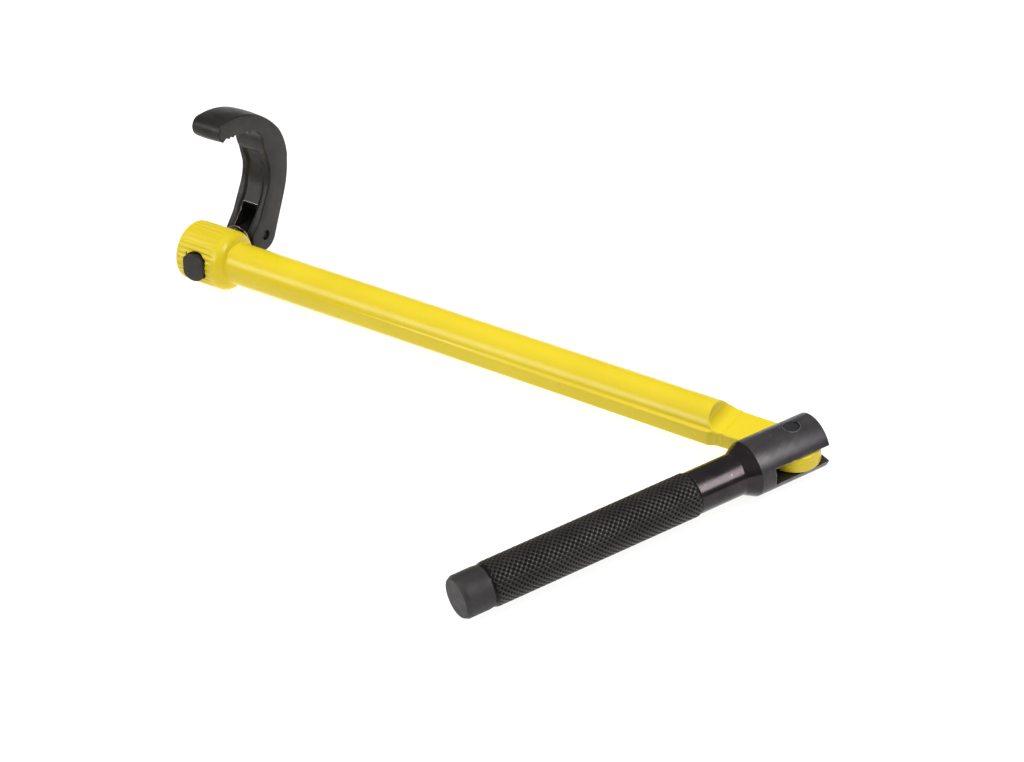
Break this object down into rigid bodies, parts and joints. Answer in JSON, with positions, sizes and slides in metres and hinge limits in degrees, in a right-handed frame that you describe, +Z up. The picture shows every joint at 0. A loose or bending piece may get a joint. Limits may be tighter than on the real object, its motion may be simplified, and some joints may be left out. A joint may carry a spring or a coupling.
{
  "type": "basin wrench",
  "caption": "Basin wrench with a ribbed head, a reversible toothed hook jaw on a sprung spindle, a painted cast arm and a knurled folding handle.",
  "frame": {"origin": "the middle of the underside of the box round the whole tool, as it stands in the picture", "axes": "+X along the arm from the ribbed head to the handle hinge, +Y towards the back of the hook jaw, +Z up along the handle pin"},
  "size_m": [0.2509, 0.1534, 0.0625],
  "materials": {
    "yellow_paint": "gloss enamel over a casting",
    "black_oxide": "satin black oxide",
    "spring_steel": "oil-dipped spring wire",
    "bright_steel": "worn bright edge",
    "cast_jaw": "satin black oxide on a fine cast surface",
    "pin_steel": "satin black oxide",
    "black_handle": "turned and black-oxided, knurled grip"
  },
  "bodies": {
    "arm": {"arm_body": "yellow_paint"},
    "handle": {"handle_bar": "black_handle", "handle_pin": "pin_steel"},
    "spindle": {"jaw_spindle": "black_oxide", "spindle_spring": "spring_steel", "thrust_washer": "bright_steel"},
    "jaw": {"hook_jaw": "cast_jaw", "jaw_pin": "pin_steel"}
  },
  "joints": [
    {"name": "handle_fold", "type": "hinge", "parent": "arm", "child": "handle", "pos_m": [0.1138, 0.03702, 0.0102], "axis": [0, 0, 1], "range_deg": [0, 231]},
    {"name": "jaw_turn", "type": "hinge", "parent": "arm", "child": "spindle", "pos_m": [-0.1162, 0.03702, 0.0107], "axis": [0, 0.9925, -0.1219], "range_deg": [-180, 0]},
    {"name": "jaw_swing", "type": "hinge", "parent": "spindle", "child": "jaw", "pos_m": [-0.1162, 0.05916, 0.00798], "axis": [1, 0, 0], "range_deg": [-4, 40]}
  ]
}
